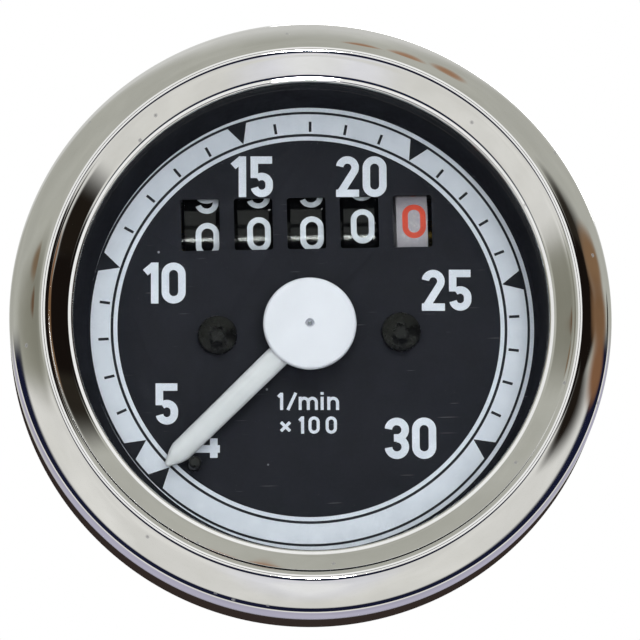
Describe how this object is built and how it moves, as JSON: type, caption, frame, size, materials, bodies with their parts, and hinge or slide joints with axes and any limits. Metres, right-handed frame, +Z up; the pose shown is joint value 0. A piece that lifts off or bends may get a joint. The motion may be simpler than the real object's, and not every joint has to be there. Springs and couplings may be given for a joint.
{
  "type": "tachometer",
  "caption": "Round mechanical tractor tachometer with a chromed bezel, a white pointer on a black dial, a roller hour counter in windows, and a clamp bracket and cable neck behind.",
  "frame": {"origin": "on the gauge's axis, in the plane where the bezel seats on the panel", "axes": "+Y runs along the gauge's axis away from the viewer, +Z is up and +X is to the viewer's right"},
  "size_m": [0.086, 0.093, 0.086],
  "materials": {
    "chromed_steel": "polished chrome over pressed steel",
    "glass": "clear flat glass",
    "gasket_rubber": "soft black rubber",
    "black_moulding": "matt black moulding",
    "zinc_steel": "zinc-plated pressed steel",
    "dial_paint": "matt black paint with printed scale",
    "blackened_steel": "blackened steel",
    "pointer_white": "thin aluminium painted white",
    "cap_white": "white moulding with a soft sheen",
    "shaft_steel": "ground steel",
    "cup_aluminium": "thin drawn aluminium",
    "magnet_iron": "dark cast magnet alloy",
    "brass": "turned brass",
    "spring_bronze": "thin bronze strip",
    "bearing_bronze": "sintered bronze",
    "plate_steel": "yellow-passivated steel sheet",
    "neck_zinc": "die-cast light alloy",
    "drum_black": "black moulding with printed digits",
    "drum_pale": "pale grey moulding with printed digits",
    "gear_cream": "cream moulding",
    "bulb_glass": "clear bulb glass"
  },
  "bodies": {
    "gauge": {"bezel": "chromed_steel", "glass": "glass", "glass_gasket": "gasket_rubber", "shadow_ring": "black_moulding", "case": "zinc_steel", "dial": "dial_paint", "dial_screws": "blackened_steel", "dial_spacers": "brass", "stop_pin": "blackened_steel", "hairspring": "spring_bronze", "spring_stud": "brass", "front_plate": "plate_steel", "spindle_bush": "brass", "counter_cheek_left": "plate_steel", "counter_cheek_right": "plate_steel", "counter_screws": "shaft_steel", "drum_axle": "shaft_steel", "pinion_axle": "shaft_steel", "cross_shaft_bracket": "plate_steel", "frame_pillars": "brass", "frame_screws": "shaft_steel", "rear_plate": "plate_steel", "rear_spacers": "brass", "case_screws": "zinc_steel", "front_bearing": "bearing_bronze", "rear_bearing": "bearing_bronze", "drive_neck": "neck_zinc", "lamp_holders": "black_moulding", "lamp_bulbs": "bulb_glass", "lamp_terminals": "brass", "mounting_studs": "zinc_steel"},
    "pointer_group": {"pointer": "pointer_white", "pointer_cap": "cap_white", "pointer_spindle": "shaft_steel", "drag_cup": "cup_aluminium", "spring_collet": "brass"},
    "drive": {"drive_shaft": "shaft_steel", "magnet": "magnet_iron", "field_cup": "shaft_steel", "shaft_clip": "shaft_steel"},
    "cross": {"cross_shaft": "shaft_steel", "worm_wheel_1": "brass"},
    "counter": {"counter_shaft": "shaft_steel", "worm_wheel_2": "brass"},
    "tenths": {"drum_5": "drum_pale", "worm_wheel_3": "gear_cream"},
    "units": {"drum_4": "drum_black"},
    "tens": {"drum_3": "drum_black"},
    "hundreds": {"drum_2": "drum_black"},
    "thousands": {"drum_1": "drum_black"},
    "carry_1": {"carry_pinion_1": "gear_cream"},
    "carry_2": {"carry_pinion_2": "gear_cream"},
    "carry_3": {"carry_pinion_3": "gear_cream"},
    "carry_4": {"carry_pinion_4": "gear_cream"},
    "clamp": {"clamp_bracket": "zinc_steel", "washers": "zinc_steel"},
    "nut_left": {"knurled_nut_left": "brass"},
    "nut_right": {"knurled_nut_right": "brass"}
  },
  "joints": [
    {"name": "pointer_sweep", "type": "hinge", "parent": "gauge", "child": "pointer_group", "pos_m": [0, 0, 0], "axis": [0, 1, 0], "range_deg": [0, 265], "stiffness_Nm_per_rad": 0.0001, "springref_deg": -28.65},
    {"name": "drive_turn", "type": "hinge", "parent": "gauge", "child": "drive", "pos_m": [0, 0.036, 0], "axis": [0, 1, 0], "continuous": true},
    {"name": "cross_turn", "type": "hinge", "parent": "gauge", "child": "cross", "pos_m": [0, 0.036, -0.0078], "axis": [1, 0, 0], "continuous": true},
    {"name": "counter_turn", "type": "hinge", "parent": "gauge", "child": "counter", "pos_m": [0.0205, 0.036, 0.004], "axis": [0, 1, 0], "continuous": true},
    {"name": "tenths_turn", "type": "hinge", "parent": "gauge", "child": "tenths", "pos_m": [0, 0.00835, 0.0154], "axis": [1, 0, 0], "continuous": true},
    {"name": "units_turn", "type": "hinge", "parent": "gauge", "child": "units", "pos_m": [0, 0.00835, 0.0154], "axis": [1, 0, 0], "continuous": true},
    {"name": "tens_turn", "type": "hinge", "parent": "gauge", "child": "tens", "pos_m": [0, 0.00835, 0.0154], "axis": [1, 0, 0], "continuous": true},
    {"name": "hundreds_turn", "type": "hinge", "parent": "gauge", "child": "hundreds", "pos_m": [0, 0.00835, 0.0154], "axis": [1, 0, 0], "continuous": true},
    {"name": "thousands_turn", "type": "hinge", "parent": "gauge", "child": "thousands", "pos_m": [0, 0.00835, 0.0154], "axis": [1, 0, 0], "continuous": true},
    {"name": "carry_1_turn", "type": "hinge", "parent": "gauge", "child": "carry_1", "pos_m": [0, 0.01693, 0.0226], "axis": [1, 0, 0], "continuous": true},
    {"name": "carry_2_turn", "type": "hinge", "parent": "gauge", "child": "carry_2", "pos_m": [0, 0.01693, 0.0226], "axis": [1, 0, 0], "continuous": true},
    {"name": "carry_3_turn", "type": "hinge", "parent": "gauge", "child": "carry_3", "pos_m": [0, 0.01693, 0.0226], "axis": [1, 0, 0], "continuous": true},
    {"name": "carry_4_turn", "type": "hinge", "parent": "gauge", "child": "carry_4", "pos_m": [0, 0.01693, 0.0226], "axis": [1, 0, 0], "continuous": true},
    {"name": "clamp_slide", "type": "slide", "parent": "gauge", "child": "clamp", "axis": [0, 1, 0], "range_m": [-0.003, 0.01]},
    {"name": "nut_left_turn", "type": "hinge", "parent": "clamp", "child": "nut_left", "pos_m": [-0.026, 0.0656, 0], "axis": [0, 1, 0], "range_deg": [-1544, 5144]},
    {"name": "nut_right_turn", "type": "hinge", "parent": "clamp", "child": "nut_right", "pos_m": [0.026, 0.0656, 0], "axis": [0, 1, 0], "range_deg": [-1544, 5144]}
  ],
  "couplings": [
    {"joint": "cross_turn", "follows": "drive_turn", "ratio": 0.04},
    {"joint": "counter_turn", "follows": "drive_turn", "ratio": 0.0008},
    {"joint": "tenths_turn", "follows": "drive_turn", "ratio": -0.000016667},
    {"joint": "units_turn", "follows": "drive_turn", "ratio": -0.0000016667},
    {"joint": "tens_turn", "follows": "drive_turn", "ratio": -0.00000016667},
    {"joint": "hundreds_turn", "follows": "drive_turn", "ratio": -0.000000016667},
    {"joint": "thousands_turn", "follows": "drive_turn", "ratio": -0.0000000016667},
    {"joint": "carry_4_turn", "follows": "drive_turn", "ratio": 0.0000041667},
    {"joint": "carry_3_turn", "follows": "drive_turn", "ratio": 0.00000041667},
    {"joint": "carry_2_turn", "follows": "drive_turn", "ratio": 0.000000041667},
    {"joint": "carry_1_turn", "follows": "drive_turn", "ratio": 0.0000000041667},
    {"joint": "nut_left_turn", "follows": "clamp_slide", "rad_per_m": 8976},
    {"joint": "nut_right_turn", "follows": "clamp_slide", "rad_per_m": 8976}
  ]
}
